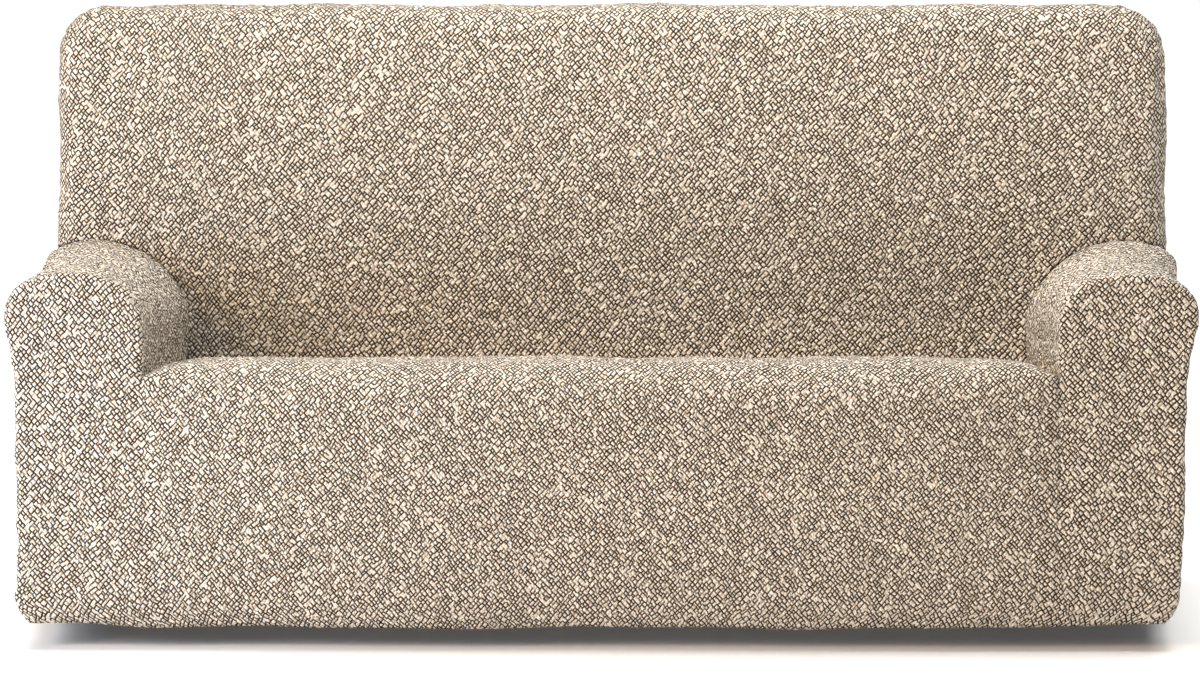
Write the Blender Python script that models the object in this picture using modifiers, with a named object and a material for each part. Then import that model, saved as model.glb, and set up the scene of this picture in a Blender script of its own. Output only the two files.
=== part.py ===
"""A fitted stretch slipcover for a three-seat sofa with rolled arms, as the five panels it is sewn from.

Every panel is an open surface, worked out on a grid, that a Solidify modifier gives the cloth's thickness
inwards. Depths run back from the plane of the arm fronts and heights are above the floor, until settled()
moves the cover so that the origin lies under the top of the back, where it is carried.
"""

import math

import bmesh
import bpy
import numpy as np

# ---- Cloth, in metres
CLOTH = 0.0024  # thickness of the crinkled stretch cloth
SEAM = 0.0003  # between two panels sewn edge to edge
CREASE = 0.0009  # between two panels that meet at an angle
TUCK = 0.014  # how far a panel runs on behind the crease that it meets
LIP = 0.004  # straight run past a rounded edge, up to its seam

# ---- Back
TOP = 1.0045  # height of the back
BACK_HALF = 0.965  # half of the back's width
REAR = 0.885  # depth of the rear face
TOP_CORNER = 0.084  # radius of the back's top corners, seen from the front
FACE_EDGE = 0.050  # radius from the front face to the top and the sides
REAR_EDGE = 0.020  # radius from the rear face to the top and the sides
FACE_FOOT = 0.620  # depth of the front face at the seat
FACE_LEAN = 0.168  # how far the front face goes back for each metre up
FACE_SWELL = 0.014  # how far its middle swells forward
REAR_SWELL = 0.006  # how far the middle of the rear face swells back
REAR_SEAM = REAR - REAR_EDGE - LIP  # depth of the seam round the rear panel

# ---- Seat and apron
CREST = 0.461  # height of the seat's front edge at mid-width
ROLL = 0.075  # radius of that edge at mid-width
APRON_SWELL = 0.020  # how far the apron swells forward below it
SWELL_FOOT = 0.130  # height where that swelling starts
CREST_POWER = 16  # how sharply the crest drops to the arms
ROLL_POWER = 8  # how sharply its radius shrinks there
SWELL_POWER = 6  # how sharply the swelling dies out there
FALL_POWER = 1.3  # shape of the seat's fall towards the back
HEM = 0.035  # height of the hem

# ---- Arms
ARM_EDGE = 0.012  # radius from an arm's front to its sides
BLEND_DEPTH = 0.600  # depth from where an arm keeps its rear section
HEAD_REACH = 0.093  # from the outer side of an arm's front to its middle line
# Rows up the inner wall, over the roll and down to the hem: half-width and height at the front,
# half-width and height at the rear, and the depth where the change from one to the other starts.
ARM_SECTION = (
    (0.7285, 0.424, 0.7275, 0.380, 0.00),
    (0.7285, 0.438, 0.7275, 0.394, 0.00),
    (0.7262, 0.486, 0.7255, 0.445, 0.00),
    (0.7266, 0.530, 0.7290, 0.492, 0.00),
    (0.7375, 0.566, 0.7480, 0.532, 0.00),
    (0.7670, 0.592, 0.7820, 0.569, 0.00),
    (0.8130, 0.604, 0.8300, 0.594, 0.00),
    (0.8620, 0.604, 0.8780, 0.603, 0.15),
    (0.9050, 0.593, 0.9150, 0.601, 0.30),
    (0.9300, 0.578, 0.9400, 0.595, 0.36),
    (0.9405, 0.564, 0.9560, 0.588, 0.38),
    (0.9460, 0.549, 0.9650, 0.580, 0.36),
    (0.9475, 0.532, 0.9650, 0.558, 0.32),
    (0.9435, 0.510, 0.9650, 0.528, 0.25),
    (0.9370, 0.481, 0.9650, 0.490, 0.12),
    (0.9315, 0.440, 0.9650, 0.440, 0.00),
    (0.9290, 0.378, 0.9650, 0.378, 0.00),
    (0.9290, 0.200, 0.9650, 0.200, 0.00),
    (0.9290, HEM, 0.9650, HEM, 0.00),
)
SEAT_ROW = 1  # the crease with the seat
CORNER_ROW = 11  # the rear corner, below the side of the back
HEM_ROW = len(ARM_SECTION) - 1
SEAT_HALF, SEAT_CORNER, SEAT_HALF_REAR, SEAT_REAR, _ = ARM_SECTION[SEAT_ROW]

# ---- Hem and slow unevenness, the same for all panels so that the seams stay closed
HEM_DRAW = 0.020  # how far the hem is drawn in underneath
DRAW_HEIGHT = 0.085  # height where that starts
HEM_LIFT = 0.008  # how far the hem rides up at the front corners
LIFT_FROM, LIFT_TO = 0.700, 0.880  # half-widths between which it rides up
LIFT_DEPTH = 0.250  # depth where that has died out
LIFT_HEIGHT = 0.250  # height where that has died out
MIDDLE_DEPTH = 0.440
# The back sits a little to the right of the arms: its sides move over, and the rear of the arms with them.
SIDE_SHIFT = 0.0143
SHIFT_HALF_FROM, SHIFT_HALF_TO = 0.600, 0.860
SHIFT_DEPTH_FROM, SHIFT_DEPTH_TO = 0.200, 0.650
HEM_SHIFT = -0.0045  # and the hem a little to the left
# Slow waves in the cloth: axis moved, amplitude, waves for each metre along x, y and z, phase.
WAVES = (
    (0, 0.0012, 0.4, 1.7, 3.1, 0.7),
    (1, 0.0018, 1.3, 0.0, 1.0, 0.4),
    (1, 0.0009, 2.1, 0.0, 0.7, 2.1),
    (2, 0.0014, 1.7, 1.1, 0.0, 1.1),
    (2, 0.0009, 3.9, 0.6, 0.0, 3.0),
)
CARRIED_AT = (0.0, 0.815, TOP - CLOTH)  # under the top of the back

# ---- Grid steps
ARM_STEPS = (24, 14)  # down to the tuck and down to the drawn-in hem, from the rear corner
DRAW_STEPS = 3  # rows of every panel where the hem is drawn in
SECTION_SAMPLES = 361
ARM_DEPTH_STEPS = 9
ARM_SIDE_STEPS = 3
RIM_STEPS = 3
HEAD_STEPS = 2
RAY_STEPS = 21
APRON_STEPS = 7
ROLL_STEPS = 5
SEAT_STEPS = 7
SEAT_WIDTH_STEPS = 30
SEAT_CROWDING = 0.75  # how closely the seat's columns crowd towards the arms
CORNER_STEPS = 2
WALL_STEPS = 12
WALL_SAG = 0.0006  # how far those steps fall short of the arm's curve
STRAIGHT_TURN = 2.0  # turn for each metre that a straight stretch counts as having
INSIDE_STEPS = (10, 42)  # up a side, and over the top with half of each corner
OUTSIDE_STEPS = (10, 26)
MERGE = 1e-6

CLOTH_ROUGHNESS = 0.92
CLOTH_COLOURS = {
    "seat_front": "C9BCA6",
    "arm_left": "D0C4B0",
    "arm_right": "C6B8A1",
    "inside_back": "CBBEA9",
    "outside_back": "C2B49D",
}


def smooth(value):
    """The value held between 0 and 1 and eased at both ends: 3 v^2 - 2 v^3."""
    held = np.clip(value, 0.0, 1.0)
    return held * held * (3.0 - 2.0 * held)


def level_heights(top, steps):
    """Heights from the hem to top: the same few up to where the hem is drawn in, then even ones."""
    low = np.linspace(HEM, DRAW_HEIGHT, DRAW_STEPS + 1)
    return np.concatenate([low, np.linspace(DRAW_HEIGHT, top, steps + 1)[1:]])


def section_curve(column, position):
    """Points of the arm section's curve at row positions such as 3.25, for the pair of columns from column.

    A cubic between rows. The slope at a row is that of its two spans, weighted to the shorter one.
    """
    points = np.array([row[column : column + 2] for row in ARM_SECTION])
    spans = np.linalg.norm(np.diff(points, axis=0), axis=1)[:, None]
    slopes = np.diff(points, axis=0) / spans
    inner = (slopes[:-1] * spans[1:] + slopes[1:] * spans[:-1]) / (spans[:-1] + spans[1:])
    tangents = np.concatenate([slopes[:1], inner, slopes[-1:]])
    position = np.clip(np.asarray(position, float), 0.0, HEM_ROW)
    row = np.minimum(position.astype(int), HEM_ROW - 1)
    part = (position - row)[..., None]
    rest = 1.0 - part
    ends = points[row] * (1 + 2 * part) * rest**2 + points[row + 1] * (1 + 2 * rest) * part**2
    return ends + spans[row] * part * rest * (tangents[row] * rest - tangents[row + 1] * part)


def arm_section(position, depth):
    """Half-width and height of an arm at row positions and depths: the front section eases into the rear."""
    start = np.interp(position, np.arange(HEM_ROW + 1), [row[4] for row in ARM_SECTION])
    part = smooth((depth - start) / (BLEND_DEPTH - start))[..., None]
    return section_curve(0, position) * (1 - part) + section_curve(2, position) * part


def rows_at(heights):
    """Row positions of these heights on the outer side of the arm's rear section."""
    rows = np.linspace(CORNER_ROW, HEM_ROW, SECTION_SAMPLES)
    return np.interp(-np.asarray(heights), -section_curve(2, rows)[:, 1], rows)


def even_rows(first, last, steps):
    """Row positions from first to last that are evenly spaced along the front section."""
    dense = np.linspace(first, last, 40 * steps + 1)
    points = section_curve(0, dense)
    length = np.concatenate([[0.0], np.cumsum(np.linalg.norm(np.diff(points, axis=0), axis=1))])
    return np.interp(np.linspace(0.0, length[-1], steps + 1), length, dense)


def quarter_round(radius, steps, lip):
    """Insets from an edge and depths behind its face: a quarter circle out to the edge, and a lip."""
    turn = np.linspace(0.0, math.pi / 2, steps + 1)
    insets = np.append(radius * (1 - np.sin(turn)), 0.0)
    return insets, np.append(radius * (1 - np.cos(turn)), radius + lip)


def face_depth(half, height):
    """Depth of the back's front face: it leans back evenly and swells forward in its middle."""
    rise = np.clip((height - CREST) / (TOP - CREST), 0.0, 1.0)
    across = np.clip(1.0 - (half / BACK_HALF) ** 4, 0.0, 1.0)
    return FACE_FOOT + FACE_LEAN * (height - SEAT_REAR) - FACE_SWELL * across * np.sin(math.pi * rise)


def back_depth(half, height):
    """Depth of the back's front with its rounded edge, which is a quarter circle in from the side."""
    short = np.clip(FACE_EDGE - (BACK_HALF - np.abs(half)), 0.0, FACE_EDGE)
    return face_depth(half, height) + FACE_EDGE - np.sqrt(FACE_EDGE**2 - short**2)


def grid_faces(rows, columns, start=0):
    """Quads of a grid whose points are numbered row by row from start."""
    index = start + np.arange(rows * columns).reshape(rows, columns)
    quads = np.stack([index[:-1, :-1], index[:-1, 1:], index[1:, 1:], index[1:, :-1]], axis=-1)
    return quads.reshape(-1, 4)


def joined(grids):
    """Points and quads of several grids, each an array of rows by columns by (x, depth, height)."""
    points, faces, count = [], [], 0
    for grid in grids:
        points.append(grid.reshape(-1, 3))
        faces.append(grid_faces(grid.shape[0], grid.shape[1], count))
        count += grid.shape[0] * grid.shape[1]
    return np.concatenate(points), np.concatenate(faces)


def settled(points):
    """The cover's points with the hem drawn in and lifted, the slow waves, and the origin in its place."""
    x, depth, height = points.T
    drawn = HEM_DRAW * (np.clip(DRAW_HEIGHT - height, 0.0, None) / (DRAW_HEIGHT - HEM)) ** 2
    out = np.stack(
        [
            x * (1 - drawn / BACK_HALF),
            MIDDLE_DEPTH + (depth - MIDDLE_DEPTH) * (1 - drawn / MIDDLE_DEPTH),
            height.copy(),
        ],
        axis=-1,
    )
    corner = smooth((np.abs(x) - LIFT_FROM) / (LIFT_TO - LIFT_FROM)) * smooth(1 - depth / LIFT_DEPTH)
    low = smooth((LIFT_HEIGHT - height) / (LIFT_HEIGHT - HEM))
    out[:, 2] += HEM_LIFT * corner * low
    out[:, 0] += HEM_SHIFT * low
    aside = smooth((np.abs(x) - SHIFT_HALF_FROM) / (SHIFT_HALF_TO - SHIFT_HALF_FROM))
    behind = smooth((depth - SHIFT_DEPTH_FROM) / (SHIFT_DEPTH_TO - SHIFT_DEPTH_FROM))
    out[:, 0] += SIDE_SHIFT * aside * behind
    for axis, amplitude, along_x, along_y, along_z, phase in WAVES:
        cycles = along_x * x + along_y * depth + along_z * height
        out[:, axis] += amplitude * np.sin(2 * math.pi * cycles + phase)
    return out - np.array(CARRIED_AT)


def seat_half(depth):
    """Half-width of the seat where it meets the arms."""
    return SEAT_HALF + (SEAT_HALF_REAR - SEAT_HALF) * smooth(depth / BLEND_DEPTH)


def apron_and_seat():
    """Grid of the apron, the rolled front edge and the seat, a column for each place across."""
    step = np.linspace(-1.0, 1.0, SEAT_WIDTH_STEPS + 1)
    across = (1 - SEAT_CROWDING) * step + SEAT_CROWDING * np.sin(math.pi / 2 * step)
    crest = SEAT_CORNER + (CREST - SEAT_CORNER) * (1 - np.abs(across) ** CREST_POWER)
    radius = ARM_EDGE + (ROLL - ARM_EDGE) * (1 - np.abs(across) ** ROLL_POWER)
    swell = APRON_SWELL * (1 - np.abs(across) ** SWELL_POWER)
    ones = np.ones_like(across)

    foot = SEAT_CORNER - ARM_EDGE
    up = (level_heights(foot, APRON_STEPS)[:, None] - HEM) / (foot - HEM)
    height = HEM + (crest - radius - HEM) * up
    rise = np.clip((height - SWELL_FOOT) / (crest - radius - SWELL_FOOT), 0.0, 1.0)
    bulge = -swell * np.sin(math.pi / 2 * rise) ** 2
    apron = np.stack([SEAT_HALF * across * np.ones_like(up), bulge, height], -1)

    turn = np.linspace(0.0, math.pi / 2, ROLL_STEPS + 1)[1:, None]
    depth = radius * (1 - np.cos(turn)) - swell
    height = crest - radius * (1 - np.sin(turn))
    roll = np.stack([across * (seat_half(depth) - CREASE), depth, height], -1)

    part = np.linspace(0.0, 1.0, SEAT_STEPS + 1)[1:, None]
    start = radius - swell
    reach = face_depth(SEAT_HALF * across, SEAT_REAR * ones) - CREASE - start
    depth = start + reach * part
    height = crest - (crest - SEAT_REAR) * part**FALL_POWER
    seat = np.stack([across * (seat_half(depth) - CREASE), depth, height], -1)
    return np.concatenate([apron, roll, seat])


def arm_front(side):
    """Grids of one arm's front: level rows from the hem to the seat's corner, and a fan of rays above.

    Both use the same steps from the rim to the middle line, with the rim rounded back and ending in a lip.
    """
    foot = SEAT_CORNER - ARM_EDGE
    rows = np.linspace(CORNER_ROW, HEM_ROW, SECTION_SAMPLES)
    outer = arm_section(rows, ARM_EDGE * np.ones_like(rows))
    heights = level_heights(foot, APRON_STEPS)
    rim = np.interp(heights, outer[::-1, 1], outer[::-1, 0])
    foot_row = np.interp(foot, outer[::-1, 1], rows[::-1])
    middle = rim[-1] - HEAD_REACH
    inset, back = quarter_round(ARM_EDGE, RIM_STEPS, LIP)
    inset, back = inset[::-1], back[::-1]
    flat = np.zeros_like(back)

    def steps_to(reach):
        """Distances from the rim: those of the rounded edge, then even ones as far as the middle."""
        part = np.linspace(0.0, 1.0, HEAD_STEPS + 1)[1:]
        return np.concatenate([inset, ARM_EDGE + (reach - ARM_EDGE) * part])

    def level(edge, height, depths, inward):
        distance = steps_to(abs(middle - edge))
        x = edge + inward * distance
        depth = np.concatenate([depths, np.zeros(HEAD_STEPS)])
        return np.stack([x, depth, np.full_like(x, height)], -1)

    outside = np.stack([level(edge, height, back, -1) for edge, height in zip(rim, heights)])
    inside = np.stack([level(SEAT_HALF, height, flat, 1)[::-1] for height in heights])
    ends = arm_section(even_rows(SEAT_ROW, foot_row, RAY_STEPS), ARM_EDGE)
    centre = np.array([middle, foot])
    rays = [level(SEAT_HALF, foot, flat, 1)]
    for end in ends:
        reach = np.linalg.norm(centre - end)
        place = end + (centre - end) * (steps_to(reach) / reach)[:, None]
        depth = np.concatenate([back, np.zeros(HEAD_STEPS)])
        rays.append(np.stack([place[:, 0], depth, place[:, 1]], -1))
    grids = [outside, inside, np.stack(rays)]
    return [grid * (side, 1, 1) for grid in grids]


def beside_arm(gap):
    """The rear section of an arm from its corner to the tuck, moved out square to itself by a gap."""
    place = section_curve(2, np.linspace(CORNER_ROW, 0, SECTION_SAMPLES))
    slope = np.gradient(place, axis=0)
    slope /= np.linalg.norm(slope, axis=1)[:, None]
    return place + gap * np.stack([slope[:, 1], -slope[:, 0]], -1)


def back_foot(inset):
    """Lower end of the back's side at an inset: on the arm, and clear of it where the edge turns inwards."""
    place = beside_arm(CREASE + CLOTH * (1 - inset / FACE_EDGE))
    roll = place[place[:, 1] > CREST][::-1]
    return float(np.interp(BACK_HALF - inset, roll[:, 0], roll[:, 1]))


def arm_panel():
    """Grids of the right arm's cloth: round the section from front to back, and the side behind it.

    The corner between the two is drawn up to the side of the back.
    """
    upper, lower = ARM_STEPS
    outer_side = rows_at(level_heights(section_curve(2, CORNER_ROW)[1], lower)[::-1])
    rows = np.concatenate([even_rows(0, CORNER_ROW, upper), outer_side[1:]])
    rear = section_curve(2, rows)
    shoulder = back_foot(0.0)
    shoulder_depth = face_depth(BACK_HALF, shoulder) + FACE_EDGE
    end = np.minimum(back_depth(rear[:, 0], rear[:, 1]) + TUCK, shoulder_depth)
    end[upper:] = shoulder_depth
    start = ARM_EDGE + LIP + SEAM
    part = np.linspace(0.0, 1.0, ARM_DEPTH_STEPS + 1)[:, None]
    depth = start + (end - start) * part
    place = arm_section(np.broadcast_to(rows, depth.shape), depth)
    over = np.stack([place[..., 0], depth, place[..., 1]], -1)
    over[-1, upper, 2] = shoulder - 2 * CREASE

    depth = np.linspace(shoulder_depth, REAR_SEAM - SEAM, ARM_SIDE_STEPS + 1)[:, None]
    side = rear[upper:]
    behind = np.stack(np.broadcast_arrays(side[:, 0], depth, side[:, 1]), -1)
    behind[:, 0, 2] = shoulder - 2 * CREASE
    return [over, behind]


def arch_stations(side, top_steps):
    """Stations of the back's outline: to 1 up a side, to 2 round a corner, to 3 over the top, and down."""
    corner = np.linspace(1.0, 2.0, 2 * CORNER_STEPS + 1)[:-1]
    top = np.linspace(2.0, 3.0, top_steps - 2 * CORNER_STEPS + 1)
    rising = np.concatenate([side[:-1], corner])
    return np.concatenate([rising, top, (5.0 - rising)[::-1]])


def arch(stations, inset, foot):
    """Points of the outline, inset: a straight side up from foot, a quarter circle, the top, and down."""
    radius = TOP_CORNER - inset
    spring = TOP - TOP_CORNER
    half = BACK_HALF - TOP_CORNER
    near = np.minimum(stations, 5.0 - stations)
    turn = np.clip(near - 1.0, 0.0, 1.0) * math.pi / 2
    height = foot + (spring - foot) * np.clip(near, 0.0, 1.0) + radius * np.sin(turn)
    x = half + radius * np.cos(turn)
    x = np.where(near > 2.0, half * (1 - 2 * (near - 2.0)), x)
    return np.stack([np.where(stations < 2.5, -x, x), height], -1)


def filled(left, top, right, bottom):
    """Grid between four edges, rows from bottom to top: both pairs blended, less the corners' blend."""
    up = np.linspace(0.0, 1.0, len(left))[:, None, None]
    across = np.linspace(0.0, 1.0, len(top))[None, :, None]
    sides = left[:, None] * (1 - across) + right[:, None] * across
    ends = bottom[None] * (1 - up) + top[None] * up
    low = bottom[0] * (1 - across) + bottom[-1] * across
    high = top[0] * (1 - across) + top[-1] * across
    return sides + ends - (low * (1 - up) + high * up)


def panel_in_arch(side, top_steps, edge, lip, foot_at, bottom, depth_of):
    """Grids of a back panel: its face inside the outline, and its rounded edge with a lip behind it.

    side holds the stations up each straight side.
    """
    side_steps = len(side) - 1 + CORNER_STEPS
    stations = arch_stations(side, top_steps)
    inner = arch(stations, edge, foot_at(edge))
    left = inner[: side_steps + 1]
    top = inner[side_steps : side_steps + top_steps + 1]
    right = inner[side_steps + top_steps :][::-1]
    face = filled(left, top, right, bottom)
    rings = []
    for inset, back in zip(*quarter_round(edge, RIM_STEPS + 1, lip)):
        place = arch(stations, inset, foot_at(inset))
        rings.append(np.stack([place[:, 0], depth_of(place[:, 0], place[:, 1], back), place[:, 1]], -1))
    front = np.stack([face[..., 0], depth_of(face[..., 0], face[..., 1], 0.0), face[..., 1]], -1)
    return [front, np.stack(rings)]


def inside_back():
    """Grids of the back's front: its lower edge follows the arms and runs down behind the seat.

    Steps along an arm are even in the root of length times turn, so each falls equally short of its curve.
    """
    wall = beside_arm(CREASE + WALL_SAG)
    wall = wall[wall[:, 0] < BACK_HALF - FACE_EDGE]
    span = np.diff(wall, axis=0)
    length = np.linalg.norm(span, axis=1)
    turn = np.abs(np.gradient(np.unwrap(np.arctan2(span[:, 1], span[:, 0]))))
    bend = np.concatenate([[0.0], np.cumsum(np.sqrt(length * (turn + STRAIGHT_TURN * length)))])
    even = np.linspace(0.0, bend[-1], WALL_STEPS + 1)
    wall = np.stack([np.interp(even, bend, wall[:, 0]), np.interp(even, bend, wall[:, 1])], -1)
    wall[0] = BACK_HALF - FACE_EDGE, back_foot(FACE_EDGE)
    half, height = wall[-1]
    across = np.linspace(-half, half, INSIDE_STEPS[1] - 2 * WALL_STEPS + 1)[1:-1]
    middle = np.stack([across, np.full_like(across, height)], -1)
    bottom = np.concatenate([wall * (-1, 1), middle, wall[::-1]])

    def depth_of(x, height, back):
        return face_depth(x, height) + back if back <= FACE_EDGE else np.full_like(x, REAR_SEAM - SEAM)

    side = np.linspace(0.0, 1.0, INSIDE_STEPS[0] + 1)
    return panel_in_arch(side, INSIDE_STEPS[1], FACE_EDGE, REAR, back_foot, bottom, depth_of)


def outside_back():
    """Grids of the rear panel: a plain face down to the hem, with rounded edges."""
    half = BACK_HALF - REAR_EDGE
    across = np.linspace(-half, half, OUTSIDE_STEPS[1] + 1)
    bottom = np.stack([across, np.full_like(across, HEM)], -1)

    def depth_of(x, height, back):
        swell = np.clip(1 - (x / half) ** 4, 0, 1) * np.sin(math.pi * np.clip(height / TOP, 0, 1))
        return REAR + REAR_SWELL * swell - back

    side = (level_heights(TOP - TOP_CORNER, OUTSIDE_STEPS[0]) - HEM) / (TOP - TOP_CORNER - HEM)
    return panel_in_arch(side, OUTSIDE_STEPS[1], REAR_EDGE, LIP, lambda inset: HEM, bottom, depth_of)


def cloth_material(name, colour):
    """Principled cloth of an sRGB hex colour."""
    material = bpy.data.materials.new(name + "_cloth")
    material.use_nodes = True
    shader = material.node_tree.nodes["Principled BSDF"]
    values = [int(colour[i : i + 2], 16) / 255 for i in (0, 2, 4)]
    linear = [v / 12.92 if v <= 0.04045 else ((v + 0.055) / 1.055) ** 2.4 for v in values]
    shader.inputs["Base Color"].default_value = (*linear, 1.0)
    shader.inputs["Roughness"].default_value = CLOTH_ROUGHNESS
    shader.inputs["Metallic"].default_value = 0.0
    return material


def cloth_panel(name, grids, core, collection):
    """An object of the grids, merged where they meet, facing away from core and as thick as the cloth."""
    points, faces = joined(grids)
    shape = bmesh.new()
    corners = [shape.verts.new(point) for point in settled(points)]
    for face in faces:
        shape.faces.new([corners[i] for i in face])
    bmesh.ops.remove_doubles(shape, verts=shape.verts, dist=MERGE)
    bmesh.ops.recalc_face_normals(shape, faces=shape.faces)
    middle = np.array(core) - np.array(CARRIED_AT)
    outward = sum(
        face.calc_area() * float(np.dot(face.normal, np.array(face.calc_center_median()) - middle))
        for face in shape.faces
    )
    if outward < 0:
        bmesh.ops.reverse_faces(shape, faces=shape.faces)
    mesh = bpy.data.meshes.new(name)
    shape.to_mesh(mesh)
    shape.free()
    mesh.shade_smooth()
    mesh.materials.append(cloth_material(name, CLOTH_COLOURS[name]))
    panel = bpy.data.objects.new(name, mesh)
    collection.objects.link(panel)
    thickness = panel.modifiers.new("cloth", "SOLIDIFY")
    thickness.thickness = CLOTH
    thickness.offset = -1.0
    return panel


def main():
    for obj in list(bpy.data.objects):
        bpy.data.objects.remove(obj, do_unlink=True)
    collection = bpy.data.collections.new("sofa_slipcover")
    bpy.context.scene.collection.children.link(collection)

    arm_middle = (SEAT_HALF + HEAD_REACH, MIDDLE_DEPTH, SEAT_CORNER)
    right_arm = arm_panel()
    left_arm = [grid * (-1, 1, 1) for grid in right_arm]
    front = [apron_and_seat(), *arm_front(-1), *arm_front(1)]
    cloth_panel("seat_front", front, (0.0, MIDDLE_DEPTH, 0.0), collection)
    cloth_panel("arm_left", left_arm, (-arm_middle[0], *arm_middle[1:]), collection)
    cloth_panel("arm_right", right_arm, arm_middle, collection)
    cloth_panel("inside_back", inside_back(), (0.0, REAR, CREST), collection)
    cloth_panel("outside_back", outside_back(), (0.0, MIDDLE_DEPTH, CREST), collection)


main()
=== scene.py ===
"""A three-seat sofa slipcover: five panels of crinkled cloth, a pale floor, soft light and a camera.

Each panel is a set of grids of points, with the cloth's own flat coordinates beside them. Those become a UV
map in metres, so the cells of the crinkle run over folds and edges as they do on the real cloth. Depths run
back from the plane of the arm fronts and heights are above the floor, until settled() moves them into the
frame. All lengths are in metres.
"""

import math

import bmesh
import bpy
import numpy as np
from bpy.props import FloatProperty, FloatVectorProperty, PointerProperty
from bpy.types import Operator, Panel, PropertyGroup
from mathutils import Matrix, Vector


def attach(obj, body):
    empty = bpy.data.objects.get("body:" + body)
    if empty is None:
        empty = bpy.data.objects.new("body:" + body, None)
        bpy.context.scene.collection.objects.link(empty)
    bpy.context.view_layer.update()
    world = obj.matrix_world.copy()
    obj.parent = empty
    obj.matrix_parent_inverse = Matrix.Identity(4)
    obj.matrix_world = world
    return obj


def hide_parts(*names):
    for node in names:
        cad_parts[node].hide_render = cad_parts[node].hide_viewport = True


bl_info = {
    "name": "Stretch Slipcover",
    "version": (1, 0, 0),
    "blender": (4, 5, 0),
    "location": "View3D > Sidebar > Slipcover",
    "description": "Makes a sofa slipcover of stretch cloth, with its floor, light and camera",
    "category": "Add Mesh",
}

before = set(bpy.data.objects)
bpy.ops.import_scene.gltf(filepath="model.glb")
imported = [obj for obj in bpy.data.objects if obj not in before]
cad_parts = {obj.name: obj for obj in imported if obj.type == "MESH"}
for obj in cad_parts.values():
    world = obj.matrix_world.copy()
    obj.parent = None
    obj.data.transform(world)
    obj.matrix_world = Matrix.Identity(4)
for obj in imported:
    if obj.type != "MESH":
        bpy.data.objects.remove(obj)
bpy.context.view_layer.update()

# ---- Cloth
CLOTH = 0.0024  # thickness
SEAM = 0.0003  # gap between panels sewn edge to edge
CREASE = 0.0009  # gap between panels that meet at an angle
TUCK = 0.014  # how far a panel runs on behind such a crease
LIP = 0.004  # cloth past a rounded edge, up to its seam

# ---- Back
TOP = 1.0045
BACK_HALF = 0.965
REAR = 0.885  # depth of the rear panel
TOP_CORNER = 0.084
FACE_EDGE = 0.050
REAR_EDGE = 0.020
FACE_FOOT = 0.620
FACE_LEAN = 0.168  # depth gained for each metre up
FACE_SWELL = 0.014
REAR_SWELL = 0.006
BACK_POWER = 4  # a swell of the back falls off across it by 1 - (half-width / whole) ^ power
REAR_SEAM = REAR - REAR_EDGE - LIP

# ---- Seat and apron
CREST = 0.461
ROLL = 0.075
APRON_SWELL = 0.020
SWELL_FOOT = 0.130
# The crest, the roll and the swell fall off towards the arms by 1 - |share across| ^ power.
CREST_POWER = 16
ROLL_POWER = 8
SWELL_POWER = 6
FALL_POWER = 1.3  # the seat falls towards the back by (share back) ^ power
CROWDING = 0.45  # how much the mesh's columns crowd towards the arms
HEM = 0.035

# ---- Arms
ARM_EDGE = 0.012
BLEND_DEPTH = 0.600  # where an arm's section has become that of its rear
HEAD_REACH = 0.093  # from the rim of an arm's front to its middle line
RIM_RUN = 0.55  # cloth along the rim over an arm's front
UPPER_RUN, LOWER_RUN = 0.52, 0.52  # cloth over an arm to its outer corner, and from there to the hem
BEHIND_RUN = 0.16  # and from there to the rear seam
# Rows up the inner wall, over the roll and down to the hem: half-width and height at the front,
# half-width and height at the rear, and the depth where the change from one to the other starts.
ARM_SECTION = (
    (0.7285, 0.424, 0.7275, 0.380, 0.00),
    (0.7285, 0.438, 0.7275, 0.394, 0.00),
    (0.7262, 0.486, 0.7255, 0.445, 0.00),
    (0.7266, 0.530, 0.7290, 0.492, 0.00),
    (0.7375, 0.566, 0.7480, 0.532, 0.00),
    (0.7670, 0.592, 0.7820, 0.569, 0.00),
    (0.8130, 0.604, 0.8300, 0.594, 0.00),
    (0.8620, 0.604, 0.8780, 0.603, 0.15),
    (0.9050, 0.593, 0.9150, 0.601, 0.30),
    (0.9300, 0.578, 0.9400, 0.595, 0.36),
    (0.9405, 0.564, 0.9560, 0.588, 0.38),
    (0.9460, 0.549, 0.9650, 0.580, 0.36),
    (0.9475, 0.532, 0.9650, 0.558, 0.32),
    (0.9435, 0.510, 0.9650, 0.528, 0.25),
    (0.9370, 0.481, 0.9650, 0.490, 0.12),
    (0.9315, 0.440, 0.9650, 0.440, 0.00),
    (0.9290, 0.378, 0.9650, 0.378, 0.00),
    (0.9290, 0.200, 0.9650, 0.200, 0.00),
    (0.9290, HEM, 0.9650, HEM, 0.00),
)
SEAT_ROW = 1
CORNER_ROW = 11
HEM_ROW = len(ARM_SECTION) - 1
SEAT_HALF, SEAT_CORNER, SEAT_HALF_REAR, SEAT_REAR, _ = ARM_SECTION[SEAT_ROW]
MIDDLE_LINE = ARM_SECTION[HEM_ROW][0] - HEAD_REACH  # half-width of the line down an arm front's middle

# ---- Hem and slow unevenness, shared by all panels so that the seams stay closed
HEM_DRAW = 0.020
DRAW_HEIGHT = 0.085
HEM_LIFT = 0.008
LIFT_FROM, LIFT_TO = 0.700, 0.880
LIFT_DEPTH = 0.250
LIFT_HEIGHT = 0.250
MIDDLE_DEPTH = 0.440
SIDE_SHIFT = 0.0143
SHIFT_HALF_FROM, SHIFT_HALF_TO = 0.600, 0.860
SHIFT_DEPTH_FROM, SHIFT_DEPTH_TO = 0.200, 0.650
HEM_SHIFT = -0.0045
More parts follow.
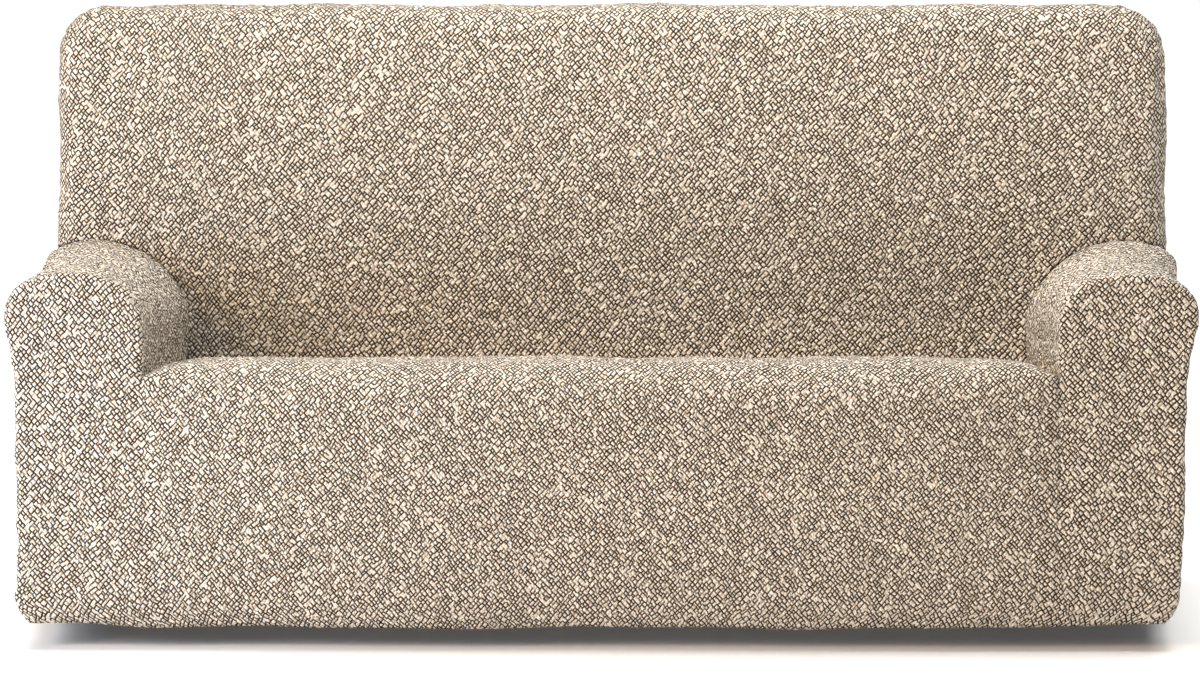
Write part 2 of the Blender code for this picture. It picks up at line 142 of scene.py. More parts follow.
# Slow waves in the cloth: axis moved, amplitude, waves for each metre along x, y and z, phase.
WAVES = (
    (0, 0.0012, 0.4, 1.7, 3.1, 0.7),
    (1, 0.0018, 1.3, 0.0, 1.0, 0.4),
    (1, 0.0009, 2.1, 0.0, 0.7, 2.1),
    (2, 0.0014, 1.7, 1.1, 0.0, 1.1),
    (2, 0.0009, 3.9, 0.6, 0.0, 3.0),
)
CARRIED_AT = (0.0, 0.815, TOP - CLOTH)

# ---- Relief of the stretched cloth
# Sums of waves: wavelength, root mean square height, how many, and the weight of their upright direction.
PUCKERS = (
    (0.150, 0.0007, 8, 0.6),
    (0.052, 0.0005, 12, 0.3),
    (0.023, 0.0008, 24, 0.8),
)
PUCKER_SEED = 11
PUCKER_SPREAD = (0.8, 1.25)  # wavelengths in a sum, against its own
HEM_PUCKER = 0.25  # share of the waves left at the hem
HEM_CALM = 0.050  # height over which they grow back
# Soft creases: from x, depth, height to x, depth, height, half-width, depth of the trough.
# Along its line a trough is least + (1 - least) * sin(pi t), with t from CREASE_TURN to 1 - CREASE_TURN.
CREASE_LEAST, CREASE_TURN = 0.35, 0.15
CREASES = (
    (0.726, 0.000, 0.442, 0.752, 0.000, 0.416, 0.0075, 0.0045),
    (0.736, 0.002, 0.400, 0.742, 0.000, 0.235, 0.0260, 0.0040),
    (-0.726, 0.000, 0.442, -0.744, 0.000, 0.424, 0.0070, 0.0030),
    (-0.738, 0.002, 0.410, -0.742, 0.000, 0.260, 0.0240, 0.0025),
    (0.700, 0.060, 0.452, 0.560, 0.180, 0.462, 0.0200, 0.0022),
    (-0.700, 0.060, 0.452, -0.590, 0.160, 0.462, 0.0180, 0.0018),
    (0.742, 0.030, 0.520, 0.735, 0.300, 0.440, 0.0180, 0.0020),
    (-0.742, 0.030, 0.520, -0.735, 0.320, 0.440, 0.0180, 0.0020),
)

# ---- Flat coordinates of the cloth
# They grow at a lower rate where the cloth is stretched, so the cells are larger there.
FACING_RATE = 0.92  # over the arm fronts
FACING_FROM, FACING_TO = 0.640, 0.820  # half-widths between which the rate sets in
LEVEL = 0.260  # height that keeps its flat coordinate there
ARM_RATE = 0.62  # front to back along the arms
BACK_PULL = 1.12  # size of the back's cells against the apron's
FLAT_HALF, FLAT_SAMPLES = 1.1, 441  # reach and samples of the running sum of the rate
# Where the panels lie on the flat, so that no two share cells.
ARM_FLAT, INSIDE_FLAT, OUTSIDE_FLAT = 4.0, 8.0, 12.0

# ---- Crinkle. Pushes are in metres, waves are for each metre, and reaches are shares of a cell.
STRIP_SCALE = (1.0, 0.22, 1.0)  # draws the noise out into upright strips
STRIP_WAVES, STRIP_DETAIL, STRIP_PUSH = 38.0, 2.0, (0.0075, 0.003, 0.0)
JITTER_WAVES, JITTER_PUSH = 80.0, (0.0028, 0.0028, 0.0)
LATTICE_TURN = (0.0, 0.0, math.radians(45))
RISING_CELLS, FALLING_CELLS = 1.12, 0.95  # lines of each set for each cell
RISING_SEED, FALLING_SEED = 1.0, 2.0
STROKE_SHIFT = 0.24  # most that a stroke stands off its line
WEAK_CHANCE, FULL_CHANCE = 0.07, 0.32  # random numbers below and above which a stroke is weak or full
WEAK_STROKE = 0.12  # depth of a weak stroke against a full one
GROOVE_FLOOR = 0.05  # half of a groove's flat floor
CELL_TINT = (0.90, 1.08)  # darkest and palest cells
RIM_REACH, RIM_HIGHLIGHT_MIDDLE_SHADE = (0.20, 0.48), (1.14, 0.86)  # painted highlight along a cell's rim and painted shade in its middle, standing in for light on the raised cell
GROOVE_SIDE = (1.0, 0.80, 0.56, 1.0)  # what the sides of a groove leave of red, green and blue light
THREAD_WAVES, THREAD_DETAIL, THREAD_ROUGHNESS = 480.0, 2.0, 0.7
THREAD_NOISE, THREAD_TINT = (0.3, 0.7), (0.84, 1.10)  # range of the noise, and the tint at its ends
DOME, THREAD_HEIGHT = 0.85, 0.3  # relief of a cell's dome and of the threads, against a groove's
CLOTH_ROUGHNESS, CLOTH_SHINE = 0.9, 0.12
WHITE = (1.0, 1.0, 1.0, 1.0)
MIXED_COLOUR = 2  # a Mix node's output for colours

# ---- Studio. The lights were set to the brightness of the photo's parts, so they suit it.
FLOOR = -CARRIED_AT[2]
FLOOR_REACH = 90.0
FLOOR_GLOW = 0.06  # white emission, so that the floor comes out white
PAPER_ROUGHNESS, PAPER_SHINE = 0.9, 0.1
KEY_PLACE, KEY_TARGET = (-3.2, -3.5, 1.2), (-0.3, -0.6, -0.4)
KEY_SIZE, KEY_COLOUR = 2.2, (1.0, 0.67, 0.36)
WINDOW_PLACE, WINDOW_TARGET = (-2.0, -1.9, -0.1), (-0.6, -0.8, -0.6)
WINDOW_SIZE, WINDOW_COLOUR = 1.0, (0.38, 0.66, 1.0)
OVERHEAD_PLACE, OVERHEAD_TARGET = (0.2, 1.0, 3.0), (0.0, 0.0, 0.0)
OVERHEAD_SPREAD = math.radians(60)
BOX_PLACE, BOX_TARGET = (0.2, -0.7, 1.2), (0.2, -0.4, -0.4)
BOX_LENGTH, BOX_WIDTH = 2.4, 0.8
CAMERA_PLACE = (0.055, -7.565, 1.212 + FLOOR)
CAMERA_TURN = (math.radians(83.91), 0.0, math.radians(0.467))
CAMERA_LENS = 128.7
CAMERA_SENSOR = 36.0
CAMERA_CLIP = 400.0

# ---- Mesh
RIM_STEPS = 6  # steps round a rim
CORNER_STEPS = 12  # steps round half of a corner of the back
SECTION_SAMPLES = 721  # samples of a curve that is measured along
MERGE = 1e-6  # points closer than this become one
REAR_COARSER = 1.2  # mesh step of the plain rear panel against that of the others


def smooth(value):
    """The value held between 0 and 1 and eased at both ends: 3 v^2 - 2 v^3."""
    held = np.clip(value, 0.0, 1.0)
    return held * held * (3.0 - 2.0 * held)


def lengths_along(points, axis=0):
    """Distance from the first point along an axis of a grid: the running sum of its straight steps."""
    step = np.linalg.norm(np.diff(points, axis=axis), axis=-1)
    start = np.zeros_like(np.take(step, [0], axis=axis))
    return np.concatenate([start, np.cumsum(step, axis=axis)], axis=axis)


def section_curve(column, position):
    """Points of the arm section's curve at row positions such as 3.25, for the pair of columns from column.

    A cubic between rows. The slope at a row is that of its two spans, weighted to the shorter one.
    """
    points = np.array([row[column : column + 2] for row in ARM_SECTION])
    spans = np.linalg.norm(np.diff(points, axis=0), axis=1)[:, None]
    slopes = np.diff(points, axis=0) / spans
    inner = (slopes[:-1] * spans[1:] + slopes[1:] * spans[:-1]) / (spans[:-1] + spans[1:])
    tangents = np.concatenate([slopes[:1], inner, slopes[-1:]])
    position = np.clip(np.asarray(position, float), 0.0, HEM_ROW)
    row = np.minimum(position.astype(int), HEM_ROW - 1)
    part = (position - row)[..., None]
    rest = 1.0 - part
    ends = points[row] * (1 + 2 * part) * rest**2 + points[row + 1] * (1 + 2 * rest) * part**2
    return ends + spans[row] * part * rest * (tangents[row] * rest - tangents[row + 1] * part)


def arm_section(position, depth):
    """Half-width and height of an arm at row positions and depths: the front section eases into the rear."""
    start = np.interp(position, np.arange(HEM_ROW + 1), [row[4] for row in ARM_SECTION])
    part = smooth((depth - start) / (BLEND_DEPTH - start))[..., None]
    return section_curve(0, position) * (1 - part) + section_curve(2, position) * part


def even_rows(first, last, steps):
    """Row positions from first to last that are evenly spaced along the front section."""
    dense = np.linspace(first, last, SECTION_SAMPLES)
    length = lengths_along(section_curve(0, dense))
    return np.interp(np.linspace(0.0, length[-1], steps + 1), length, dense)


def quarter_round(radius, steps, lip, lip_steps):
    """Insets, depths and flat insets from an edge: a quarter circle from the face to the edge, then a lip.

    The flat inset falls by the length of cloth run over, so it is negative once past the edge.
    """
    turn = np.linspace(0.0, math.pi / 2, steps + 1)
    run = np.linspace(0.0, lip, lip_steps + 1)[1:]
    inset = np.concatenate([radius * (1 - np.sin(turn)), np.zeros(lip_steps)])
    depth = np.concatenate([radius * (1 - np.cos(turn)), radius + run])
    flat = radius - np.concatenate([radius * turn, radius * math.pi / 2 + run])
    return inset, depth, flat


def face_depth(half, height):
    """Depth of the back's front face: it leans back evenly and swells forward in its middle."""
    rise = np.clip((height - CREST) / (TOP - CREST), 0.0, 1.0)
    across = np.clip(1.0 - (half / BACK_HALF) ** BACK_POWER, 0.0, 1.0)
    return FACE_FOOT + FACE_LEAN * (height - SEAT_REAR) - FACE_SWELL * across * np.sin(math.pi * rise)


def back_depth(half, height):
    """Depth of the back's front with its rounded edge, which is a quarter circle in from the side."""
    short = np.clip(FACE_EDGE - (BACK_HALF - np.abs(half)), 0.0, FACE_EDGE)
    return face_depth(half, height) + FACE_EDGE - np.sqrt(FACE_EDGE**2 - short**2)


def settled(points):
    """The cover's points with the hem drawn in and lifted, the slow waves, and the origin in its place."""
    x, depth, height = points.T
    drawn = HEM_DRAW * (np.clip(DRAW_HEIGHT - height, 0.0, None) / (DRAW_HEIGHT - HEM)) ** 2
    out = np.stack(
        [
            x * (1 - drawn / BACK_HALF),
            MIDDLE_DEPTH + (depth - MIDDLE_DEPTH) * (1 - drawn / MIDDLE_DEPTH),
            height.copy(),
        ],
        axis=-1,
    )
    corner = smooth((np.abs(x) - LIFT_FROM) / (LIFT_TO - LIFT_FROM)) * smooth(1 - depth / LIFT_DEPTH)
    low = smooth((LIFT_HEIGHT - height) / (LIFT_HEIGHT - HEM))
    out[:, 2] += HEM_LIFT * corner * low
    out[:, 0] += HEM_SHIFT * low
    aside = smooth((np.abs(x) - SHIFT_HALF_FROM) / (SHIFT_HALF_TO - SHIFT_HALF_FROM))
    behind = smooth((depth - SHIFT_DEPTH_FROM) / (SHIFT_DEPTH_TO - SHIFT_DEPTH_FROM))
    out[:, 0] += SIDE_SHIFT * aside * behind
    for axis, amplitude, along_x, along_y, along_z, phase in WAVES:
        cycles = along_x * x + along_y * depth + along_z * height
        out[:, axis] += amplitude * np.sin(2 * math.pi * cycles + phase)
    return out - np.array(CARRIED_AT)


def puckered(points):
    """Height of the cloth's relief at points: waves in scattered directions, less the creases.

    A wave is height * sqrt(2 / how many) * sin(2 pi (direction . point) / wavelength + phase), so that the
    sum has the height as its root mean square. It dies down to a share of that at the taut hem. A crease
    takes off its trough times exp(-(distance / half-width)^2), with the distance to its line, and fades at
    both ends.
    """
    chance = np.random.default_rng(PUCKER_SEED)
    total = np.zeros(len(points))
    for wavelength, height, count, upright in PUCKERS:
        direction = chance.normal(size=(count, 3)) * (1.0, 1.0, upright)
        direction /= np.linalg.norm(direction, axis=1)[:, None]
        spread = chance.uniform(*PUCKER_SPREAD, size=(count, 1))
        phase = chance.uniform(0.0, 2 * math.pi, size=count)
        waves = np.sin(points @ (2 * math.pi / wavelength * direction / spread).T + phase)
        total += height * math.sqrt(2.0 / count) * waves.sum(axis=1)
    total *= HEM_PUCKER + (1 - HEM_PUCKER) * smooth((points[:, 2] - HEM) / HEM_CALM)
    for row in CREASES:
        start, end = np.array(row[:3]), np.array(row[3:6])
        width, trough = row[6:]
        line = end - start
        along = np.clip((points - start) @ line / (line @ line), 0.0, 1.0)
        gap = np.linalg.norm(points - start - along[:, None] * line, axis=1)
        turn = CREASE_TURN + (1 - 2 * CREASE_TURN) * along
        fade = CREASE_LEAST + (1 - CREASE_LEAST) * np.sin(math.pi * turn)
        total -= trough * fade * np.exp(-((gap / width) ** 2))
    return total


def stretched(flat):
    """Flat coordinates of the front panel: they grow slower over the arm fronts, where it is stretched."""
    half = np.abs(flat[..., 0])
    dense = np.linspace(0.0, FLAT_HALF, FLAT_SAMPLES)
    rate = 1 - (1 - FACING_RATE) * smooth((dense - FACING_FROM) / (FACING_TO - FACING_FROM))
    run = np.concatenate([[0.0], np.cumsum((rate[1:] + rate[:-1]) / 2 * np.diff(dense))])
    across = np.sign(flat[..., 0]) * np.interp(half, dense, run)
    level = LEVEL + (flat[..., 1] - LEVEL) * np.interp(half, dense, rate)
    return np.stack([across, level], -1)


def seat_half(depth):
    """Half-width of the seat where it meets the arms."""
    return SEAT_HALF + (SEAT_HALF_REAR - SEAT_HALF) * smooth(depth / BLEND_DEPTH)


def apron_and_seat(step):
    """Apron, rolled front edge and seat as one grid: a section from hem to back for each place across."""
    across = np.linspace(-1.0, 1.0, round(2 * SEAT_HALF / step) + 1)
    across = (1 - CROWDING) * across + CROWDING * np.sin(math.pi / 2 * across)
    crest = SEAT_CORNER + (CREST - SEAT_CORNER) * (1 - np.abs(across) ** CREST_POWER)
    radius = ARM_EDGE + (ROLL - ARM_EDGE) * (1 - np.abs(across) ** ROLL_POWER)
    swell = APRON_SWELL * (1 - np.abs(across) ** SWELL_POWER)
    ones = np.ones_like(across)

    up = np.linspace(0.0, 1.0, round((SEAT_CORNER - HEM) / step) + 1)[:, None]
    height = HEM + (crest - radius - HEM) * up
    rise = np.clip((height - SWELL_FOOT) / (crest - radius - SWELL_FOOT), 0.0, 1.0)
    bulge = -swell * np.sin(math.pi / 2 * rise) ** 2
    apron = np.stack([SEAT_HALF * across * np.ones_like(up), bulge, height], -1)

    turn = np.linspace(0.0, math.pi / 2, round(ROLL * math.pi / 2 / step) + 1)[1:, None]
    depth = radius * (1 - np.cos(turn)) - swell
    height = crest - radius * (1 - np.sin(turn))
    roll = np.stack([across * (seat_half(depth) - CREASE), depth, height], -1)

    part = np.linspace(0.0, 1.0, round(FACE_FOOT / step) + 1)[1:, None]
    start = radius - swell
    reach = face_depth(SEAT_HALF * across, SEAT_REAR * ones) - CREASE - start
    depth = start + reach * part
    height = crest - (crest - SEAT_REAR) * part**FALL_POWER
    seat = np.stack([across * (seat_half(depth) - CREASE), depth, height], -1)
    grid = np.concatenate([apron, roll, seat])
    flat = np.stack([grid[..., 0], lengths_along(grid) + HEM], -1)
    return [(grid, stretched(flat))]


def arm_front(side, step):
    """One arm's front: level rows from the hem to the seat's corner, and a fan of rays over the roll.

    Both use the same steps from the rim to the middle line, with the rim rounded back and ending in a lip.
    """
    foot = SEAT_CORNER - ARM_EDGE
    rows = np.linspace(CORNER_ROW, HEM_ROW, SECTION_SAMPLES)
    outer = arm_section(rows, ARM_EDGE * np.ones_like(rows))
    heights = np.linspace(HEM, foot, round((foot - HEM) / step) + 1)
    rim = np.interp(heights, outer[::-1, 1], outer[::-1, 0])
    foot_row = np.interp(foot, outer[::-1, 1], rows[::-1])
    middle = rim[-1] - HEAD_REACH
    inset, back, run = (values[::-1] for values in quarter_round(ARM_EDGE, RIM_STEPS, LIP, 1))
    head = np.linspace(0.0, 1.0, round(HEAD_REACH / step) + 1)[1:]

    def ray(end, centre, rounded):
        """Points and flat coordinates from a place on the rim to a centre."""
        reach = np.linalg.norm(centre - end)
        toward = (centre - end) / reach
        inner = ARM_EDGE + (reach - ARM_EDGE) * head
        place = end + toward * np.concatenate([inset, inner])[:, None]
        flat = end + toward * np.concatenate([run if rounded else inset, inner])[:, None]
        depth = np.concatenate([back if rounded else 0 * back, 0 * inner])
        return np.column_stack([place[:, 0], depth, place[:, 1]]), flat

    centre = np.array([middle, foot])
    ends = arm_section(even_rows(SEAT_ROW, foot_row, round(RIM_RUN / step)), ARM_EDGE)
    outside = [ray(np.array([edge, z]), np.array([middle, z]), True) for edge, z in zip(rim, heights)]
    inside = [ray(np.array([SEAT_HALF, z]), np.array([middle, z]), False) for z in heights]
    fan = [inside[-1]] + [ray(end, centre, True) for end in ends]
    grids = []
    for rays in (outside, inside, fan):
        points = np.stack([points for points, flat in rays]) * (side, 1, 1)
        flat = np.stack([flat for points, flat in rays]) * (side, 1)
        grids.append((points, stretched(flat)))
    return grids


def beside_arm(gap):
    """The rear section of an arm from its corner to the tuck, moved out square to itself by a gap."""
    place = section_curve(2, np.linspace(CORNER_ROW, 0, SECTION_SAMPLES))
    slope = np.gradient(place, axis=0)
    slope /= np.linalg.norm(slope, axis=1)[:, None]
    return place + gap * np.stack([slope[:, 1], -slope[:, 0]], -1)


def back_foot(inset):
    """Lower end of the back's side at an inset: on the arm, and clear of it where the edge turns inwards."""
    place = beside_arm(CREASE + CLOTH * (1 - inset / FACE_EDGE))
    roll = place[place[:, 1] > CREST][::-1]
    return float(np.interp(BACK_HALF - inset, roll[:, 0], roll[:, 1]))


def arm_panel(side, step):
    """One arm's cloth: round the section from front to back, and the side behind it.

    The corner between the two is drawn up to the side of the back.
    """
    upper = round(UPPER_RUN / step)
    lower = even_rows(CORNER_ROW, HEM_ROW, round(LOWER_RUN / step))
    rows = np.concatenate([even_rows(0, CORNER_ROW, upper), lower[1:]])
    rear = section_curve(2, rows)
    shoulder = back_foot(0.0)
    shoulder_depth = face_depth(BACK_HALF, shoulder) + FACE_EDGE
    end = np.minimum(back_depth(rear[:, 0], rear[:, 1]) + TUCK, shoulder_depth)
    end[upper:] = shoulder_depth
    start = ARM_EDGE + LIP + SEAM
    part = np.linspace(0.0, 1.0, round(shoulder_depth / step) + 1)[:, None]
    depth = start + (end - start) * part
    place = arm_section(np.broadcast_to(rows, depth.shape), depth)
    over = np.stack([place[..., 0], depth, place[..., 1]], -1)
    over[-1, upper, 2] = shoulder - 2 * CREASE

    depth = np.linspace(shoulder_depth, REAR_SEAM - SEAM, round(BEHIND_RUN / step) + 1)[:, None]
    behind = np.stack(np.broadcast_arrays(rear[upper:, 0], depth, rear[upper:, 1]), -1)
    behind[:, 0, 2] = shoulder - 2 * CREASE

    run = lengths_along(section_curve(0, rows))
    grids = []
    for grid, along in ((over, run), (behind, run[upper:])):
        flat = np.stack(np.broadcast_arrays(ARM_RATE * grid[..., 1], along), -1)
        grids.append((grid * (side, 1, 1), flat + (ARM_FLAT + side, 0.0)))
    return grids


def arch(stations, inset, foot):
    """Points of the back's outline, inset, at stations from 0 to 5.

    One whole number each for the straight side up from foot, a quarter circle, the top, the other quarter
    circle and the other side.
    """
    radius = TOP_CORNER - inset
    spring = TOP - TOP_CORNER
    half = BACK_HALF - TOP_CORNER
    near = np.minimum(stations, 5.0 - stations)
    turn = np.clip(near - 1.0, 0.0, 1.0) * math.pi / 2
    height = foot + (spring - foot) * np.clip(near, 0.0, 1.0) + radius * np.sin(turn)
    x = half + radius * np.cos(turn)
    x = np.where(near > 2.0, half * (1 - 2 * (near - 2.0)), x)
    return np.stack([np.where(stations < 2.5, -x, x), height], -1)


def filled(left, top, right, bottom):
    """Grid between four edges, rows from bottom to top: both pairs blended, less the corners' blend."""
    up = np.linspace(0.0, 1.0, len(left))[:, None, None]
    across = np.linspace(0.0, 1.0, len(top))[None, :, None]
    sides = left[:, None] * (1 - across) + right[:, None] * across
    ends = bottom[None] * (1 - up) + top[None] * up
    low = bottom[0] * (1 - across) + bottom[-1] * across
    high = top[0] * (1 - across) + top[-1] * across
    return sides + ends - (low * (1 - up) + high * up)


def panel_in_arch(side_steps, top_steps, rounded, foot_at, bottom, depth_of, shift):
    """A back panel: its face inside the outline, and its rounded edge with the boxing behind it."""
    side = np.linspace(0.0, 1.0, side_steps - CORNER_STEPS + 1)
    corner = np.linspace(1.0, 2.0, 2 * CORNER_STEPS + 1)[:-1]
    top = np.linspace(2.0, 3.0, top_steps - 2 * CORNER_STEPS + 1)
    rising = np.concatenate([side[:-1], corner])
    stations = np.concatenate([rising, top, (5.0 - rising)[::-1]])
    inset, back, run = rounded
    inner = arch(stations, inset[0], foot_at(inset[0]))
    left = inner[: side_steps + 1]
    over = inner[side_steps : side_steps + top_steps + 1]
    right = inner[side_steps + top_steps :][::-1]
    face = filled(left, over, right, bottom)
    grid = np.stack([face[..., 0], depth_of(face[..., 0], face[..., 1], 0.0), face[..., 1]], -1)
    rings, flats = [], []
    for edge_inset, behind, flat_inset in zip(inset, back, run):
        place = arch(stations, edge_inset, foot_at(edge_inset))
        rings.append(np.stack([place[:, 0], depth_of(place[:, 0], place[:, 1], behind), place[:, 1]], -1))
        flats.append(arch(stations, flat_inset, foot_at(edge_inset)))
    return [(grid, face + shift), (np.stack(rings), np.stack(flats) + shift)]


def inside_back(step):
    """The back's front: its lower edge follows the arms and runs down behind the seat.

    Its boxing ends where the rear panel starts, so its last rings are spread over what is left of the depth.
    """
    wall = beside_arm(CREASE)
    wall = wall[wall[:, 0] < BACK_HALF - FACE_EDGE]
    run = lengths_along(wall)
    steps = round(run[-1] / step)
    even = np.linspace(0.0, run[-1], steps + 1)
    wall = np.stack([np.interp(even, run, wall[:, 0]), np.interp(even, run, wall[:, 1])], -1)
    wall[0] = BACK_HALF - FACE_EDGE, back_foot(FACE_EDGE)
    half, height = wall[-1]
    top_steps = round(2 * (BACK_HALF - FACE_EDGE) / step) // 2 * 2
    across = np.linspace(-half, half, top_steps - 2 * steps + 1)[1:-1]
    middle = np.stack([across, np.full_like(across, height)], -1)
    bottom = np.concatenate([wall * (-1, 1), middle, wall[::-1]])
    boxing = REAR_SEAM - SEAM - face_depth(BACK_HALF, TOP) - FACE_EDGE
    rounded = quarter_round(FACE_EDGE, 2 * RIM_STEPS, boxing, round(boxing / step))

    def depth_of(x, z, back):
        front = face_depth(x, z)
        part = max(back - FACE_EDGE, 0.0) / boxing
        return (front + min(back, FACE_EDGE)) * (1 - part) + (REAR_SEAM - SEAM) * part

    side_steps = round((TOP - SEAT_REAR) / step)
    return panel_in_arch(side_steps, top_steps, rounded, back_foot, bottom, depth_of, (INSIDE_FLAT, 0.0))


def outside_back(step):
    """The rear panel: a plain face down to the hem, with rounded edges."""
    half = BACK_HALF - REAR_EDGE
    top_steps = round(2 * half / step) // 2 * 2
    across = np.linspace(-half, half, top_steps + 1)
    bottom = np.stack([across, np.full_like(across, HEM)], -1)
    rounded = quarter_round(REAR_EDGE, RIM_STEPS, LIP, 1)

    def depth_of(x, z, back):
        swell = np.clip(1 - (x / half) ** BACK_POWER, 0, 1) * np.sin(math.pi * np.clip(z / TOP, 0, 1))
        return REAR + REAR_SWELL * swell - back

    side_steps = round((TOP - HEM) / step)
    return panel_in_arch(
        side_steps, top_steps, rounded, lambda inset: HEM, bottom, depth_of, (OUTSIDE_FLAT, 0.0)
    )


def grid_faces(rows, columns, start):
    """Quads of a grid whose points are numbered row by row from start."""
    index = start + np.arange(rows * columns).reshape(rows, columns)
    quads = np.stack([index[:-1, :-1], index[:-1, 1:], index[1:, 1:], index[1:, :-1]], axis=-1)
    return quads.reshape(-1, 4)


def mesh_of(name, grids):
    """A mesh of grids of (points, flat coordinates), with the flat ones as its UV map."""
    points = np.concatenate([grid.reshape(-1, 3) for grid, _ in grids])
    flat = np.concatenate([uv.reshape(-1, 2) for _, uv in grids])
    starts = np.cumsum([0] + [grid.shape[0] * grid.shape[1] for grid, _ in grids])
    quads = np.concatenate(
        [grid_faces(grid.shape[0], grid.shape[1], start) for (grid, _), start in zip(grids, starts)]
    )
    mesh = bpy.data.meshes.new(name)
    mesh.vertices.add(len(points))
    mesh.vertices.foreach_set("co", settled(points).ravel())
    mesh.loops.add(quads.size)
    mesh.loops.foreach_set("vertex_index", quads.ravel())
    mesh.polygons.add(len(quads))
    mesh.polygons.foreach_set("loop_start", np.arange(0, quads.size, 4))
    mesh.update(calc_edges=True)
    layer = mesh.uv_layers.new(name="cloth")
    layer.data.foreach_set("uv", flat[quads.ravel()].ravel())
    return mesh


def closed_up(mesh, core):
    """The mesh with its grids merged and its faces turned away from core."""
    shape = bmesh.new()
    shape.from_mesh(mesh)
    bmesh.ops.remove_doubles(shape, verts=shape.verts, dist=MERGE)
    bmesh.ops.recalc_face_normals(shape, faces=shape.faces)
    shape.to_mesh(mesh)
    shape.free()
    count = len(mesh.polygons)
    centres, normals = np.empty(count * 3), np.empty(count * 3)
    mesh.polygons.foreach_get("center", centres)
    mesh.polygons.foreach_get("normal", normals)
    areas = np.empty(count)
    mesh.polygons.foreach_get("area", areas)
    away = centres.reshape(-1, 3) - (np.array(core) - np.array(CARRIED_AT))
    if (areas * (away * normals.reshape(-1, 3)).sum(axis=1)).sum() < 0:
        mesh.flip_normals()
    return mesh


def puckered_mesh(mesh):
    """The mesh with each point moved along its normal by the cloth's relief."""
    count = len(mesh.vertices)
    points, normals = np.empty(count * 3), np.empty(count * 3)
    mesh.vertices.foreach_get("co", points)
    mesh.vertex_normals.foreach_get("vector", normals)
    points, normals = points.reshape(-1, 3), normals.reshape(-1, 3)
    moved = points + normals * puckered(points + np.array(CARRIED_AT))[:, None]
    mesh.vertices.foreach_set("co", moved.ravel())
    mesh.update()
    return mesh


def linear(hex_colour):
    """Linear RGBA of an sRGB hex colour, by the sRGB curve."""
    values = [int(hex_colour[i : i + 2], 16) / 255 for i in (1, 3, 5)]
    return (*(v / 12.92 if v <= 0.04045 else ((v + 0.055) / 1.055) ** 2.4 for v in values), 1.0)


def add_node(tree, kind, inputs=None, **settings):
    """A node of a kind, with its settings, and its inputs given as values or as other nodes' outputs."""
    node = tree.nodes.new(kind)
    for name, value in settings.items():
        setattr(node, name, value)
    for key, value in (inputs or {}).items():
        if isinstance(value, bpy.types.NodeSocket):
            tree.links.new(value, node.inputs[key])
        else:
            node.inputs[key].default_value = value
    return node


def combined(tree, operation, *values):
    """Output of a Math node over values, which are numbers or other nodes' outputs."""
    node = add_node(tree, "ShaderNodeMath", dict(enumerate(values)), operation=operation)
    return node.outputs["Value"]


def ranged(tree, value, low, high, to_low=0.0, to_high=1.0, eased=False):
    """The value taken from the range low..high to another range, and held at its ends."""
    node = add_node(
        tree,
        "ShaderNodeMapRange",
        {"Value": value, "From Min": low, "From Max": high, "To Min": to_low, "To Max": to_high},
        interpolation_type="SMOOTHSTEP" if eased else "LINEAR",
    )
    return node.outputs["Result"]


def noise(tree, vector, scale, detail=1.0, roughness=0.5):
    """A noise texture with so many waves for each metre."""
    return add_node(
        tree,
        "ShaderNodeTexNoise",
        {"Vector": vector, "Scale": scale, "Detail": detail, "Roughness": roughness},
    )


def pushed(tree, vector, by, reach):
    """The vector moved by up to half of reach each way, by a noise texture's colour."""
    centred = add_node(
        tree, "ShaderNodeVectorMath", {0: by.outputs["Color"], 1: (0.5, 0.5, 0.5)}, operation="SUBTRACT"
    ).outputs["Vector"]
    return add_node(
        tree, "ShaderNodeVectorMath", {0: centred, 1: reach, 2: vector}, operation="MULTIPLY_ADD"
    ).outputs["Vector"]


def mixed(tree, factor, low, high):
    """The colour low where the factor is 0, high where it is 1, and a blend of them between."""
    node = add_node(tree, "ShaderNodeMix", {"Factor": factor, "A": low, "B": high}, data_type="RGBA")
    return node.outputs[MIXED_COLOUR]


def lattice(tree, uv, cells):
    """Flat coordinates along the two sets of lines that the grooves follow, counted in lines.

    The elastic threads run up and down, so a drawn-out noise crowds the cells together in wavering upright
    strips. A finer noise moves each cell a little.
    """
    strips = add_node(tree, "ShaderNodeMapping", {"Vector": uv, "Scale": STRIP_SCALE}).outputs["Vector"]
    moved = pushed(tree, uv, noise(tree, strips, STRIP_WAVES, STRIP_DETAIL), STRIP_PUSH)
    moved = pushed(tree, moved, noise(tree, uv, JITTER_WAVES), JITTER_PUSH)
    scale = (RISING_CELLS * cells, FALLING_CELLS * cells, 1.0)
    turned = add_node(
        tree, "ShaderNodeMapping", {"Vector": moved, "Rotation": LATTICE_TURN, "Scale": scale}
    ).outputs["Vector"]
    split = add_node(tree, "ShaderNodeSeparateXYZ", {"Vector": turned})
    return split.outputs["X"], split.outputs["Y"]


def strokes(tree, across, along, seed):
    """Short strokes on the lines that stand at every whole step across, one for each whole step along.

    A random number for each stroke shifts it sideways, so that the lines don't run on, and another sets how
    deep it is. Gives the distance from the stroke in steps, its depth and one more random number.
    """
    line = combined(tree, "ROUND", across)
    step = combined(tree, "FLOOR", along)
    place = add_node(tree, "ShaderNodeCombineXYZ", {"X": line, "Y": step, "Z": seed}).outputs["Vector"]
    white = add_node(tree, "ShaderNodeTexWhiteNoise", {"Vector": place}, noise_dimensions="3D")
    chance = add_node(tree, "ShaderNodeSeparateXYZ", {"Vector": white.outputs["Color"]})
    shift = ranged(tree, chance.outputs["X"], 0.0, 1.0, -STROKE_SHIFT, STROKE_SHIFT)
    away = combined(tree, "SUBTRACT", combined(tree, "SUBTRACT", across, line), shift)
    depth = ranged(tree, chance.outputs["Y"], WEAK_CHANCE, FULL_CHANCE, WEAK_STROKE, 1.0)
    return combined(tree, "ABSOLUTE", away), depth, chance.outputs["Z"]


